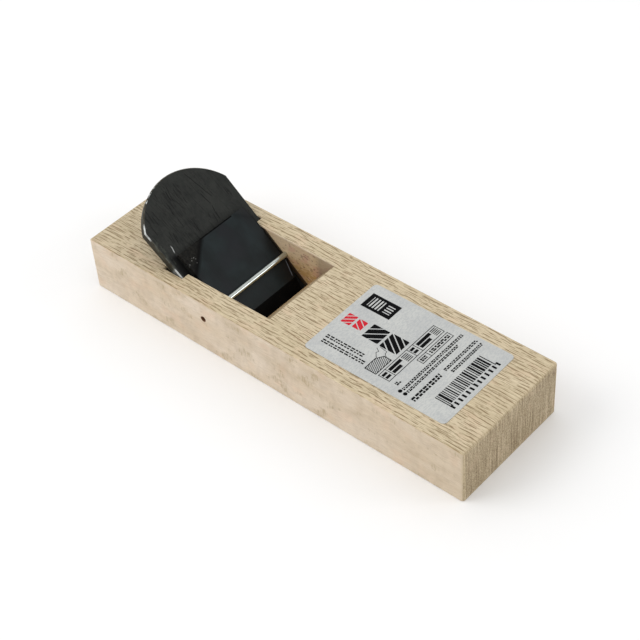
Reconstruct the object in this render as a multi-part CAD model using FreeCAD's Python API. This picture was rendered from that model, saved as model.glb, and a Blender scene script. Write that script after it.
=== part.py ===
import FreeCAD, Part
import math
import os

# Small Japanese pull plane.  Millimetres and degrees.
# +X runs along the block from the heel towards the front end, +Z is up, and the
# origin is the centre of the sole.  The iron leans back from the mouth, towards -X.
# Pieces that lie on the iron are first drawn in a "slope frame": its X runs down
# the iron's face from the block's top surface, its Z stands square off that face.

Vector = FreeCAD.Vector

# --- block -------------------------------------------------------------------
block_length = 180.0
block_width = 54.0
block_height = 24.0
front_edge_radius = 1.3      # top and upright edges of the front end, rounded over
arris_radius = 0.4           # all the other outside edges

# --- mortise, seen from the side -----------------------------------------------
bed_angle = 37.3             # the bed that carries the iron, from the sole
bed_top_x = -55.4            # where the bed meets the top surface
front_wall_top_x = -4.5      # where the front wall meets the top surface
front_wall_angle = 49.8      # from the sole
nose_height = 6.1            # the front wall turns under at this height
mouth_lip_x = -14.7          # front lip of the mouth in the sole
mortise_front_half_width = 18.0
mortise_rear_half_width = 18.5
mortise_offset = 0.4         # the mortise, grooves and iron sit a little towards +Y
lip_chamfer = 0.3            # on the front and side edges of the mortise's top

# --- side grooves that wedge the iron --------------------------------------------
groove_half_width = 22.05
groove_front_top_x = -45.2
groove_front_sole_x = -15.5

# --- iron --------------------------------------------------------------------
iron_angle = 38.3            # front face of the iron, from the sole
iron_top_x = -46.0           # where that face crosses the block's top surface
iron_edge_height = 0.25      # cutting edge above the sole at rest
iron_head_radius = 25.0
iron_head_centre = -9.3      # centre of the head's arc, in the slope frame
iron_head_half_width = 22.1
iron_edge_half_width = 21.0
iron_corner_clip = 3.4       # lower corners ground off
iron_bevel_angle = 28.0      # cutting bevel, from the front face
iron_side_slope = 8.1        # the sides lean in towards the back
iron_front_chamfer = 0.5
iron_back_chamfer = 1.8
bed_clearance = 0.05
steel_thickness = 1.4
steel_top = 3.0              # upper end of the hard steel, in the slope frame
hollow_depth = 0.25
hollow_top = 9.0
hollow_edge_land = 3.0       # flat left between the hollow and the cutting edge
hollow_half_width = 16.5
hollow_corner_radius = 8.0

# --- chip breaker --------------------------------------------------------------
breaker_length = 44.6
breaker_thickness = 1.6
breaker_half_width = 17.7
breaker_edge_half_width = 14.4
breaker_taper_length = 20.3  # stretch over which the sides draw in
breaker_setback = 1.0        # its edge behind the cutting edge
breaker_tilt = 1.85          # its upper end stands off the iron
breaker_offset = 0.6         # sits a little towards +Y
breaker_clearance = 0.05
breaker_bevel_length = 11.0
breaker_edge_thickness = 0.45
near_ear_across = 10.9       # fold line's ends, measured from the upper corner
near_ear_along = 9.8
far_ear_across = 7.3
far_ear_along = 6.5
breaker_steel_length = 13.0
breaker_steel_thickness = 0.35

# --- cross pin -----------------------------------------------------------------
pin_radius = 1.2
pin_x = -30.2
pin_z = 16.1
pin_near_recess = 2.0        # below the block's near side
pin_far_cover = 2.5          # wood left beyond the pin on the far side

# --- label -----------------------------------------------------------------------
label_length = 62.6
label_width = 40.8
label_thickness = 0.15
label_corner_radius = 1.8
label_centre_x = 45.4
label_centre_y = -0.1
label_turn = 0.4

# --- working values --------------------------------------------------------------
overshoot = 2.0              # how far a cutter runs past the block
big = 120.0                  # larger than any piece
loft_depth = 9.0             # deeper than the iron is thick anywhere
touching = 0.001             # two points nearer than this are the same
beside = 1.0                 # margin when edges are picked by where they lie
top = block_height
iron_edge_s = (top - iron_edge_height) / math.sin(math.radians(iron_angle))


def run(angle):
    """Horizontal run for one millimetre of height on a slope."""
    return 1.0 / math.tan(math.radians(angle))


def side_prism(points, half_width):
    """Outline in X and Z, extruded evenly to both sides of the middle."""
    corners = [Vector(x, -half_width, z) for x, z in points]
    wire = Part.makePolygon(corners + corners[:1])
    return Part.Face(wire).extrude(Vector(0, 2 * half_width, 0))


def plan_prism(points, low, high):
    """Outline in X and Y, extruded from one height to another."""
    corners = [Vector(x, y, low) for x, y in points]
    wire = Part.makePolygon(corners + corners[:1])
    return Part.Face(wire).extrude(Vector(0, 0, high - low))


def rounded_plate(length, width, radius, low, high):
    """Flat plate centred on the origin, with its upright edges rounded."""
    plate = Part.makeBox(length, width, high - low, Vector(-length / 2, -width / 2, low))
    upright = [e for e in plate.Edges if abs(e.Vertexes[0].X - e.Vertexes[1].X) < touching
               and abs(e.Vertexes[0].Y - e.Vertexes[1].Y) < touching]
    return plate.makeFillet(radius, upright)


def to_slope(shape, angle, origin):
    """Lays a shape from the slope frame onto its slope."""
    placed = shape.copy()
    placed.rotate(Vector(0, 0, 0), Vector(0, 1, 0), angle)
    placed.translate(origin)
    return placed


def slope_point(s, height):
    """Point of the iron's slope frame, in the block's frame."""
    angle = math.radians(iron_angle)
    x = iron_top_x + s * math.cos(angle) + height * math.sin(angle)
    z = top - s * math.sin(angle) + height * math.cos(angle)
    return Vector(x, 0, z)


def half_space(point, axis, angle):
    """Large block above a plane through a point, tipped about an axis."""
    block = Part.makeBox(2 * big, 2 * big, big, Vector(-big, -big, 0))
    block.rotate(Vector(0, 0, 0), axis, angle)
    block.translate(point)
    return block


def write(shape, node):
    """Writes one piece, a single solid, as its own file."""
    print(node, "solids", len(shape.Solids), "valid", shape.isValid(), "mm3", round(shape.Volume, 1))
    shape.Solids[0].exportStep(os.path.join("parts", node + ".step"))


def bed_x(z):
    """Where the bed is at a height."""
    return bed_top_x + (top - z) * run(bed_angle)


def groove_front_x(z):
    """Where the front face of the side grooves is at a height."""
    drop = (top - z) / top
    return groove_front_top_x + (groove_front_sole_x - groove_front_top_x) * drop


def edges_above_sole(solid, from_x):
    """Edges that lie wholly at or beyond from_x and reach above the sole."""
    return [e for e in solid.Edges if all(v.X > from_x - touching for v in e.Vertexes)
            and any(v.Z > touching for v in e.Vertexes)]


def make_blank():
    """The planed block with its edges eased."""
    blank = Part.makeBox(block_length, block_width, block_height,
                         Vector(-block_length / 2, -block_width / 2, 0))
    end_x = block_length / 2
    blank = blank.makeFillet(front_edge_radius, edges_above_sole(blank, end_x))
    rounded = edges_above_sole(blank, end_x - front_edge_radius)
    others = [e for e in blank.Edges if not any(e.isSame(r) for r in rounded)]
    return blank.makeFillet(arris_radius, others)


def make_mortise():
    """Opening between the cheeks, from the top surface down to the mouth."""
    high = top + overshoot
    low = -overshoot
    nose_x = front_wall_top_x - (top - nose_height) * run(front_wall_angle)
    side = [(front_wall_top_x + overshoot * run(front_wall_angle), high),
            (nose_x, nose_height),
            (mouth_lip_x, 0),
            (mouth_lip_x, low),
            (bed_x(low), low),
            (bed_x(high), high)]
    rear_x = bed_x(high)
    front_x = side[0][0]
    spread = (mortise_rear_half_width - mortise_front_half_width) / (front_wall_top_x - groove_front_top_x)
    front_half = mortise_front_half_width - spread * (front_x - front_wall_top_x)
    rear_half = mortise_front_half_width + spread * (front_wall_top_x - rear_x)
    plan = [(front_x, -front_half), (front_x, front_half), (rear_x, rear_half), (rear_x, -rear_half)]
    mortise = side_prism(side, block_width).common(plan_prism(plan, low, high))
    mortise.translate(Vector(0, mortise_offset, 0))
    return mortise


def make_grooves():
    """Slot for the iron, wider than the mortise, from the top to the sole."""
    high = top + overshoot
    low = -overshoot
    side = [(bed_x(high), high), (groove_front_x(high), high),
            (groove_front_x(low), low), (bed_x(low), low)]
    grooves = side_prism(side, groove_half_width)
    grooves.translate(Vector(0, mortise_offset, 0))
    return grooves


def ease_mortise_lip(block):
    """Chamfers the mortise's front and side edges on the top surface."""
    chosen = []
    for edge in block.Edges:
        middle = edge.CenterOfMass
        on_top = all(abs(v.Z - top) < touching for v in edge.Vertexes)
        between = abs(middle.y) < groove_half_width - beside
        ahead = groove_front_top_x + beside < middle.x < front_wall_top_x + beside
        if on_top and between and ahead:
            chosen.append(edge)
    return block.makeChamfer(lip_chamfer, chosen)


def make_block():
    block = make_blank().cut(make_mortise()).cut(make_grooves())
    block = ease_mortise_lip(block)
    hole = Part.makeCylinder(pin_radius, block_width - pin_far_cover + overshoot,
                             Vector(pin_x, -block_width / 2 - overshoot, pin_z), Vector(0, 1, 0))
    return block.cut(hole)


def make_pin():
    near_y = -block_width / 2 + pin_near_recess
    length = block_width - pin_near_recess - pin_far_cover
    return Part.makeCylinder(pin_radius, length, Vector(pin_x, near_y, pin_z), Vector(0, 1, 0))


def iron_outline(inset, depth):
    """The iron's outline, drawn in from its front outline and sunk below the face."""
    radius = iron_head_radius - inset
    head_half = iron_head_half_width - inset
    edge_half = iron_edge_half_width - inset
    shoulder_s = iron_head_centre - math.sqrt(radius ** 2 - head_half ** 2)
    clip_s = iron_edge_s - iron_corner_clip
    clip_y = edge_half - iron_corner_clip
    corners = [Vector(shoulder_s, head_half, -depth),
               Vector(clip_s, edge_half, -depth),
               Vector(iron_edge_s, clip_y, -depth),
               Vector(iron_edge_s, -clip_y, -depth),
               Vector(clip_s, -edge_half, -depth),
               Vector(shoulder_s, -head_half, -depth)]
    apex = Vector(iron_head_centre - radius, 0, -depth)
    edges = [Part.makeLine(a, b) for a, b in zip(corners, corners[1:])]
    edges.append(Part.Arc(corners[-1], apex, corners[0]).toShape())
    return Part.Wire(edges)


def make_iron():
    """The whole iron as forged: round head, tapering sides, wedge in thickness."""
    inset = loft_depth * math.tan(math.radians(iron_side_slope))
    iron = Part.makeLoft([iron_outline(0, 0), iron_outline(inset, loft_depth)], True, True)
    iron = to_slope(iron, iron_angle, Vector(iron_top_x, 0, top))
    above_bed = half_space(Vector(bed_top_x, 0, top), Vector(0, 1, 0), bed_angle)
    lift = math.radians(bed_angle)
    above_bed.translate(Vector(bed_clearance * math.sin(lift), 0, bed_clearance * math.cos(lift)))
    iron = chamfer_rim(iron.common(above_bed))
    bevel = half_space(Vector(0, 0, 0), Vector(0, 1, 0), 180 - iron_bevel_angle)
    iron = iron.cut(to_slope(bevel, iron_angle, slope_point(iron_edge_s, 0)))
    iron.translate(Vector(0, mortise_offset, 0))
    return iron


def chamfer_rim(iron):
    """Chamfers the iron's outline on its front and back, but not at the cutting edge."""
    front_normal = Vector(math.sin(math.radians(iron_angle)), 0, math.cos(math.radians(iron_angle)))
    back_normal = Vector(math.sin(math.radians(bed_angle)), 0, math.cos(math.radians(bed_angle)))
    front_point = Vector(iron_top_x, 0, top)
    back_point = Vector(bed_top_x, 0, top) + back_normal * bed_clearance
    clip_x = slope_point(iron_edge_s - iron_corner_clip, 0).x
    for normal, point, size in ((front_normal, front_point, iron_front_chamfer),
                                (back_normal, back_point, iron_back_chamfer)):
        chosen = []
        for edge in iron.Edges:
            flat = all(abs((v.Point - point).dot(normal)) < touching for v in edge.Vertexes)
            if flat and edge.CenterOfMass.x < clip_x:
                chosen.append(edge)
        iron = iron.makeChamfer(size, chosen)
    return iron


def split_iron(iron):
    """Hard steel on the lower part of the front face, soft iron behind it."""
    layer = Part.makeBox(big, big, steel_thickness, Vector(steel_top, -big / 2, -steel_thickness))
    layer = to_slope(layer, iron_angle, Vector(iron_top_x, 0, top))
    hollow_bottom = iron_edge_s - hollow_edge_land
    hollow = rounded_plate(hollow_bottom - hollow_top, 2 * hollow_half_width,
                           hollow_corner_radius, -hollow_depth, hollow_depth)
    hollow.translate(Vector((hollow_bottom + hollow_top) / 2, mortise_offset, 0))
    hollow = to_slope(hollow, iron_angle, Vector(iron_top_x, 0, top))
    return iron.cut(layer), iron.common(layer).cut(hollow)


def ear_plane(fold_start, fold_end, bend, height):
    """Space above a breaker's ear, which is bent down about its fold line."""
    axis = fold_end - fold_start
    axis.normalize()
    return half_space(Vector(fold_start.x, fold_start.y, height), axis, bend)


def make_breaker():
    """Bevelled plate whose upper corners are bent down, with a steel edge beneath."""
    upper = -breaker_length
    half = breaker_half_width
    outline = [(upper, -half), (-breaker_taper_length, -half), (0, -breaker_edge_half_width),
               (0, breaker_edge_half_width), (-breaker_taper_length, half), (upper, half)]
    rise = breaker_length * math.sin(math.radians(breaker_tilt))
    ears = []
    for side, across, along in ((-1, near_ear_across, near_ear_along),
                                (1, far_ear_across, far_ear_along)):
        on_end = Vector(upper, side * (half - across), 0)
        on_side = Vector(upper + along, side * half, 0)
        reach = across * along / math.hypot(across, along)
        bend = math.degrees(math.atan(rise / reach))
        # the fold's direction is chosen so that a positive bend lowers the corner
        start, end = (on_end, on_side) if side < 0 else (on_side, on_end)
        ears.append((start, end, bend))
    bevel_drop = breaker_thickness - breaker_edge_thickness
    bevel_angle = math.degrees(math.atan2(bevel_drop, breaker_bevel_length))
    outer = plan_prism(outline, -big, breaker_thickness)
    outer = outer.cut(half_space(Vector(-breaker_bevel_length, 0, breaker_thickness),
                                 Vector(0, 1, 0), bevel_angle))
    inner = Part.makeBox(2 * big, 2 * big, 2 * big, Vector(-big, -big, -2 * big))
    for start, end, bend in ears:
        outer = outer.cut(ear_plane(start, end, bend, breaker_thickness))
        inner = inner.cut(ear_plane(start, end, bend, 0))
    breaker = outer.cut(inner)
    steel = Part.makeBox(breaker_steel_length, big, breaker_steel_thickness,
                         Vector(-breaker_steel_length, -big / 2, 0))
    pieces = []
    for piece in (breaker.cut(steel), breaker.common(steel)):
        piece.translate(Vector(0, breaker_offset, 0))
        origin = slope_point(iron_edge_s - breaker_setback, breaker_clearance)
        pieces.append(to_slope(piece, iron_angle + breaker_tilt, origin))
    return pieces


def make_label():
    label = rounded_plate(label_length, label_width, label_corner_radius, 0, label_thickness)
    label.rotate(Vector(0, 0, 0), Vector(0, 0, 1), label_turn)
    label.translate(Vector(label_centre_x, label_centre_y, top))
    return label


def main():
    soft_back, hard_steel = split_iron(make_iron())
    breaker_plate, breaker_steel = make_breaker()
    write(make_block(), "body_block")
    write(make_pin(), "cross_pin")
    write(make_label(), "paper_label")
    write(soft_back, "iron_soft_back")
    write(hard_steel, "iron_hard_steel")
    write(breaker_plate, "breaker_plate")
    write(breaker_steel, "breaker_steel_edge")


main()
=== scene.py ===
import bmesh
import bpy
import math
import random
from mathutils import Matrix, Vector


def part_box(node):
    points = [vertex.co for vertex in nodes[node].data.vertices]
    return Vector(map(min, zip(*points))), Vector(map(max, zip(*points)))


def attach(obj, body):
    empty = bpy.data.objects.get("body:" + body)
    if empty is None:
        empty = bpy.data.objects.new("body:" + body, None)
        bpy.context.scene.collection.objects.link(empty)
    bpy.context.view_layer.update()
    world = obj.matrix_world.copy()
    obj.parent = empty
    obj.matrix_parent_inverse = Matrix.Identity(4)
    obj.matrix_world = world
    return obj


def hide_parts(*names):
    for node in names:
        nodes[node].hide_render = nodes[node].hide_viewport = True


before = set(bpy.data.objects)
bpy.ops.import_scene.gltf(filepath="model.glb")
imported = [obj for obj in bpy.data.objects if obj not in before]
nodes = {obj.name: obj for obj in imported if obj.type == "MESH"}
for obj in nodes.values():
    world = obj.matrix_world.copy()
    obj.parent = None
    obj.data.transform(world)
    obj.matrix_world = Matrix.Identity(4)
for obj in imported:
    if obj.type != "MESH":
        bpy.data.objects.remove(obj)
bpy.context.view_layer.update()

MM = 0.001

# --- camera ----------------------------------------------------------------------
camera_azimuth = 44.089
camera_elevation = 43.453
camera_roll = -4.557
camera_distance = 0.604452
camera_target = Vector((-0.007368, 0.011162, 0.0))
camera_lens = 89.08          # millimetres
camera_sensor = 36.0         # millimetres

# --- block, in millimetres ---------------------------------------------------------
block_half_length = 90.0
block_half_width = 27.0
block_top = 24.0
groove_start = 19.6          # where the side grooves begin, from the block's middle
pin_bore_radius = 1.23
pin_bore_start = 22.0        # from the block's middle
mortise_back = -66.0         # the mortise's inside, as far as its material goes
mortise_front = -3.9
mortise_half_width = 22.4

# --- iron, in millimetres ------------------------------------------------------------
iron_angle = math.radians(38.3)              # its face, from the sole
iron_origin = Vector((-46.0, 0.0, block_top))        # where that face meets the top
iron_edge_height = 0.25
iron_edge = (block_top - iron_edge_height) / math.sin(iron_angle)    # down the face
honed_length = 5.0           # bright part of the face, above the cutting edge

# --- chip breaker, in millimetres ------------------------------------------------------
breaker_angle = iron_angle + math.radians(1.85)
breaker_length = 44.6
breaker_thickness = 1.6
breaker_half_width = 17.7
breaker_edge_half_width = 14.4
breaker_taper_length = 20.3
breaker_bevel_length = 11.0
breaker_edge_thickness = 0.45
breaker_steel_length = 13.0
breaker_steel_thickness = 0.35
breaker_rise = breaker_length * math.sin(breaker_angle - iron_angle)
breaker_set_back = 1.0       # its edge, up from the iron's
breaker_clearance = 0.05
breaker_offset = 0.6         # it sits a little towards +Y
near_ear = (-1, 10.9, 9.8)   # side, extent across, extent along
far_ear = (1, 7.3, 6.5)
fold_softness = 1.6          # length over which an ear turns down
ear_shade = 1.6              # the near ear's painted shade starts this far before its fold
eased_edge = 0.14            # width taken off its sharp edges
# the middle of its lower edge, on its underside, is breaker_origin
to_breaker = iron_edge - breaker_set_back
breaker_origin = iron_origin + Vector((
    to_breaker * math.cos(iron_angle) + breaker_clearance * math.sin(iron_angle), breaker_offset,
    -to_breaker * math.sin(iron_angle) + breaker_clearance * math.cos(iron_angle)))

pin_low, pin_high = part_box("cross_pin")
pin_centre = (pin_low + pin_high) / 2 / MM


def add_camera():
    azimuth, elevation = math.radians(camera_azimuth), math.radians(camera_elevation)
    roll = math.radians(camera_roll)
    back = Vector((math.sin(azimuth) * math.cos(elevation),
                   -math.cos(azimuth) * math.cos(elevation), math.sin(elevation)))
    right = Vector((math.cos(azimuth), math.sin(azimuth), 0.0))
    up = back.cross(right)
    rolled_right = right * math.cos(roll) + up * math.sin(roll)
    rolled_up = up * math.cos(roll) - right * math.sin(roll)
    data = bpy.data.cameras.new("camera")
    data.lens = camera_lens
    data.sensor_width = camera_sensor
    camera = bpy.data.objects.new("camera", data)
    turn = Matrix((rolled_right, rolled_up, back)).transposed().to_4x4()
    camera.matrix_world = Matrix.Translation(camera_target + back * camera_distance) @ turn
    bpy.context.scene.collection.objects.link(camera)
    bpy.context.scene.camera = camera


add_camera()


def linear(red, green, blue):
    """Colour from 0-255 display values, as linear RGBA."""
    def one(v):
        v /= 255.0
        return v / 12.92 if v <= 0.04045 else ((v + 0.055) / 1.055) ** 2.4
    return (one(red), one(green), one(blue), 1.0)


class Graph:
    """A material under construction. Each method adds a node and returns its output socket."""

    def __init__(self, name, **shader):
        self.material = bpy.data.materials.new(name)
        self.material.use_nodes = True
        self.nodes = self.material.node_tree.nodes
        self.links = self.material.node_tree.links
        self.shader = self.nodes["Principled BSDF"]
        for key, value in shader.items():
            self.shader.inputs[key.replace("_", " ")].default_value = value
        coordinates = self.nodes.new("ShaderNodeTexCoord")
        self.mm = self.vector("MULTIPLY", coordinates.outputs["Object"], (1000, 1000, 1000))
        self.normal = coordinates.outputs["Normal"]

    def put(self, socket, value):
        if isinstance(value, bpy.types.NodeSocket):
            self.links.new(value, socket)
        else:
            socket.default_value = value

    def vector(self, operation, a, b=(0, 0, 0), c=(0, 0, 0)):
        node = self.nodes.new("ShaderNodeVectorMath")
        node.operation = operation
        for socket, value in zip(node.inputs, (a, b, c)):
            self.put(socket, value)
        return node.outputs["Value" if operation == "DOT_PRODUCT" else "Vector"]

    def math(self, operation, a, b=0.0, c=0.0):
        node = self.nodes.new("ShaderNodeMath")
        node.operation = operation
        for socket, value in zip(node.inputs, (a, b, c)):
            self.put(socket, value)
        return node.outputs[0]

    def split(self, vector):
        node = self.nodes.new("ShaderNodeSeparateXYZ")
        self.links.new(vector, node.inputs[0])
        return node.outputs[0], node.outputs[1], node.outputs[2]

    def join(self, x, y, z):
        node = self.nodes.new("ShaderNodeCombineXYZ")
        for socket, value in zip(node.inputs, (x, y, z)):
            self.put(socket, value)
        return node.outputs[0]

    def noise(self, vector, size, detail=2.0, roughness=0.5, seed=0.0, distortion=0.0):
        """Noise whose features are size = (x, y, z) millimetres large."""
        scaled = self.vector("MULTIPLY_ADD", vector, tuple(1.0 / s for s in size),
                             (seed, seed * 1.7, seed * 2.3))
        node = self.nodes.new("ShaderNodeTexNoise")
        self.links.new(scaled, node.inputs["Vector"])
        node.inputs["Scale"].default_value = 1.0
        node.inputs["Detail"].default_value = detail
        node.inputs["Roughness"].default_value = roughness
        node.inputs["Distortion"].default_value = distortion
        return node.outputs[0]

    def cells(self, vector, size, seed=0.0):
        """Distance from the nearest of scattered points, size = (x, y, z) millimetres apart."""
        scaled = self.vector("MULTIPLY_ADD", vector, tuple(1.0 / s for s in size),
                             (seed, seed * 1.7, seed * 2.3))
        node = self.nodes.new("ShaderNodeTexVoronoi")
        self.links.new(scaled, node.inputs["Vector"])
        node.inputs["Scale"].default_value = 1.0
        return node.outputs["Distance"]

    def step(self, value, low, high, bottom=0.0, top=1.0):
        """Smooth ramp from bottom at low to top at high."""
        node = self.nodes.new("ShaderNodeMapRange")
        node.interpolation_type = "SMOOTHSTEP"
        for socket, number in zip(node.inputs, (value, low, high, bottom, top)):
            self.put(socket, number)
        return node.outputs[0]

    def mix(self, factor, a, b, blend="MIX"):
        node = self.nodes.new("ShaderNodeMix")
        node.data_type = "RGBA"
        node.blend_type = blend
        self.put(node.inputs[0], factor)
        self.put(node.inputs[6], a)
        self.put(node.inputs[7], b)
        return node.outputs[2]

    def bump(self, height, depth, strength=1.0, normal=None):
        """Bump whose height of 1 stands for depth millimetres."""
        node = self.nodes.new("ShaderNodeBump")
        node.inputs["Strength"].default_value = strength
        node.inputs["Distance"].default_value = depth * MM
        self.links.new(height, node.inputs["Height"])
        if normal:
            self.links.new(normal, node.inputs["Normal"])
        return node.outputs[0]

    def finish(self, colour=None, roughness=None, normal=None, metallic=None):
        for key, value in (("Base Color", colour), ("Roughness", roughness),
                           ("Normal", normal), ("Metallic", metallic)):
            if value is not None:
                self.put(self.shader.inputs[key], value)
        return self.material


def slope_coordinates(g, angle=iron_angle, origin=iron_origin):
    """Millimetres down a slope, across it, and off it."""
    moved = g.vector("SUBTRACT", g.mm, tuple(origin))
    cos, sin = math.cos(angle), math.sin(angle)
    along = g.vector("DOT_PRODUCT", moved, (cos, 0.0, -sin))
    off = g.vector("DOT_PRODUCT", moved, (sin, 0.0, cos))
    _, across, _ = g.split(moved)
    return g.join(along, across, off), along, across, off


# --- oak -------------------------------------------------------------------------
def oak():
    """Pale oak: rays stand upright along the grain, so they show as dashes on the top,
    as broad flecks on the sides and as fine streaks on the ends."""
    g = Graph("oak_planed", Specular_IOR_Level=0.3)
    p = g.mm
    drift = g.math("SUBTRACT", g.noise(p, (34, 14, 20), 1.5, seed=3.1), 0.5)
    ripple = g.math("SUBTRACT", g.noise(p, (7, 5, 9), 1.0, seed=8.4), 0.5)
    shift = g.math("ADD", g.math("MULTIPLY", drift, 2.2), g.math("MULTIPLY", ripple, 0.7))
    p = g.vector("ADD", p, g.join(0.0, shift, 0.0))
    x, y, z = g.split(g.mm)
    nx, ny, _ = g.split(g.normal)
    on_end = g.step(g.math("ABSOLUTE", nx), 0.45, 0.85)
    on_side = g.step(g.math("ABSOLUTE", ny), 0.55, 0.85)

    def ray_rows(pitch, thickness, length, height, cover, seed):
        """Upright sheets a pitch apart across the grain, broken along it."""
        px, py, pz = g.split(p)
        rows = g.math("MULTIPLY_ADD", py, 1.0 / pitch, seed)
        row = g.math("FLOOR", rows)
        lane = g.join(px, g.math("MULTIPLY", row, 37.0), pz)
        sway = g.noise(lane, (length * 1.6, 1.0, height * 1.6), 2.0, 0.5, seed=seed)
        offset = g.math("MULTIPLY_ADD", sway, -0.9, -0.05)
        away = g.math("ABSOLUTE", g.math("ADD", g.math("FRACT", rows), offset))
        sheet = g.step(away, thickness / pitch * 0.75, thickness / pitch * 0.2)
        breaks = g.noise(lane, (length, 1.0, height), 2.0, 0.55, seed=seed + 4.0)
        return g.math("MULTIPLY", sheet, g.step(breaks, 0.58 - cover * 0.2, 0.70 - cover * 0.2))

    dash = ray_rows(1.5, 0.36, 7.0, 14.0, 0.8, 1.3)
    second_dash = ray_rows(2.1, 0.34, 4.5, 12.0, 0.6, 6.4)
    fine_dash = ray_rows(0.72, 0.24, 3.2, 9.0, 0.6, 3.8)
    rays = g.noise(p, (7.0, 0.42, 6.0), 2.0, 0.5, seed=5.9)
    pale_line = g.step(rays, 0.47, 0.34)
    dash = g.math("MAXIMUM", dash, g.math("MULTIPLY", second_dash, 0.75))
    fibre = g.noise(p, (3.2, 0.16, 0.16), 3.0, 0.6, seed=2.2)
    ring = g.noise(p, (80, 30, 2.6), 2.0, 0.5, seed=6.6)
    cloud = g.noise(g.mm, (26, 9, 9), 2.0, 0.5, seed=4.7)
    tint = g.noise(g.mm, (9, 5, 6), 1.0, 0.5, seed=9.2)

    top_colour = g.mix(g.step(cloud, 0.3, 0.7), linear(203, 187, 155), linear(213, 197, 167))
    side_colour = g.mix(g.step(cloud, 0.3, 0.7), linear(212, 194, 170), linear(222, 207, 188))
    end_colour = g.mix(g.step(cloud, 0.3, 0.7), linear(166, 148, 116), linear(178, 160, 129))
    side_colour = g.mix(g.step(x, 10.0, block_half_length, 0.0, 0.5), side_colour, linear(204, 187, 162))
    colour = g.mix(on_side, top_colour, side_colour)
    colour = g.mix(on_end, colour, end_colour)
    colour = g.mix(g.step(tint, 0.52, 0.75, 0.0, 0.35), colour, linear(222, 192, 164))
    colour = g.mix(g.step(ring, 0.5, 0.72, 0.0, 0.16), colour, linear(170, 146, 106))
    # dashes on the top
    dark_ray = g.mix(on_end, linear(126, 104, 71), linear(114, 94, 63))
    plain = g.math("SUBTRACT", 1.0, g.math("MULTIPLY", on_side, 0.88))
    plain = g.math("MULTIPLY", plain, g.math("SUBTRACT", 1.0, g.math("MULTIPLY", on_end, 0.75)))
    strength = g.math("MULTIPLY", dash, g.math("MULTIPLY", plain, 0.92))
    colour = g.mix(strength, colour, dark_ray)
    light_ray = g.mix(on_end, linear(226, 211, 180), linear(206, 188, 158))
    colour = g.mix(g.math("MULTIPLY", g.math("MULTIPLY", pale_line, plain), 0.6), colour, light_ray)
    colour = g.mix(g.math("MULTIPLY", g.math("MULTIPLY", fine_dash, plain), 0.55), colour, dark_ray)
    # streaks standing upright on the ends
    streak = g.noise(g.mm, (9.0, 0.24, 24.0), 2.0, 0.55, seed=31.0)
    colour = g.mix(g.math("MULTIPLY", on_end, g.step(streak, 0.51, 0.58, 0.0, 0.95)), colour,
                   linear(208, 191, 160))
    colour = g.mix(g.math("MULTIPLY", on_end, g.step(streak, 0.49, 0.41, 0.0, 0.85)), colour, dark_ray)
    # pores, cut open on the ends
    pores = g.noise(g.mm, (1.1, 0.34, 0.8), 2.0, 0.6, seed=41.0)
    colour = g.mix(g.math("MULTIPLY", on_end, g.step(pores, 0.49, 0.38, 0.0, 0.55)), colour, dark_ray)
    colour = g.mix(g.math("MULTIPLY", on_end, g.step(pores, 0.53, 0.64, 0.0, 0.62)), colour, light_ray)
    # on the sides the rays are seen flat, as soft flecks and short upright combs
    fleck = g.step(g.noise(g.mm, (8.0, 5.0, 5.5), 3.0, 0.55, seed=21.0), 0.54, 0.68)
    comb = g.noise(g.mm, (0.62, 5.0, 3.6), 1.5, 0.5, seed=23.0)
    comb = g.math("MULTIPLY", g.step(comb, 0.50, 0.62), fleck)
    colour = g.mix(g.math("MULTIPLY", g.math("MULTIPLY", fleck, on_side), 0.34), colour,
                   linear(186, 170, 142))
    colour = g.mix(g.math("MULTIPLY", g.math("MULTIPLY", comb, on_side), 0.50), colour,
                   linear(166, 146, 112))
    colour = g.mix(g.step(fibre, 0.40, 0.70, 0.0, 0.24), colour, dark_ray)

    # the cut faces inside the mortise are browner and unplaned
    inside_x = g.math("MULTIPLY", g.step(x, mortise_back - 4.0, mortise_back),
                      g.step(x, mortise_front + 2.4, mortise_front))
    inside_y = g.step(g.math("ABSOLUTE", y), mortise_half_width + 1.6, mortise_half_width)
    below = g.step(z, block_top - 0.1, block_top - 0.8)
    inside = g.math("MULTIPLY", g.math("MULTIPLY", inside_x, inside_y), below)
    depth = g.step(z, block_top, 11.0, 0.65, 0.95)
    marks = g.step(g.noise(g.mm, (1.6, 1.6, 1.0), 2.0, 0.6, seed=7.7), 0.58, 0.66)
    torn = g.step(g.noise(g.mm, (2.6, 2.6, 0.8), 2.0, 0.6, seed=17.3), 0.50, 0.64)
    blush = g.step(g.noise(g.mm, (5.0, 5.0, 4.0), 2.0, 0.5, seed=19.1), 0.48, 0.62)
    cut_colour = g.mix(g.step(z, 20.0, 10.0), linear(204, 178, 138), linear(178, 140, 84))
    cut_colour = g.mix(g.math("MULTIPLY", torn, 0.5), cut_colour, linear(222, 196, 158))
    cheek_only = g.math("MULTIPLY", on_side, 0.75)
    cut_colour = g.mix(g.math("MULTIPLY", blush, cheek_only), cut_colour, linear(196, 150, 122))
    cut_colour = g.mix(g.math("MULTIPLY", marks, cheek_only), cut_colour, linear(112, 64, 42))
    depth = g.math("MULTIPLY", depth, g.math("MULTIPLY_ADD", on_side, 0.55, 0.45))
    # painted shade: the mortise's front wall is greyed and darkened because it faces away from the light
    front_wall_painted_shade = g.step(x, -15.0, -12.0)
    cut_colour = g.mix(g.math("MULTIPLY", front_wall_painted_shade, 0.6), cut_colour, linear(112, 98, 84))
    colour = g.mix(g.math("MULTIPLY", inside, depth), colour, cut_colour)
    # painted shadow: nearly black at the top of the grooves, for the shaded gap beside the iron's sides
    groove_painted_shadow = g.math("MULTIPLY", g.step(g.math("ABSOLUTE", y), groove_start, groove_start + 0.6), inside)
    groove_painted_shadow = g.math("MULTIPLY", groove_painted_shadow, g.step(z, 12.0, 22.0))
    colour = g.mix(g.math("MULTIPLY", groove_painted_shadow, 0.94), colour, linear(10, 8, 6))
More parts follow.
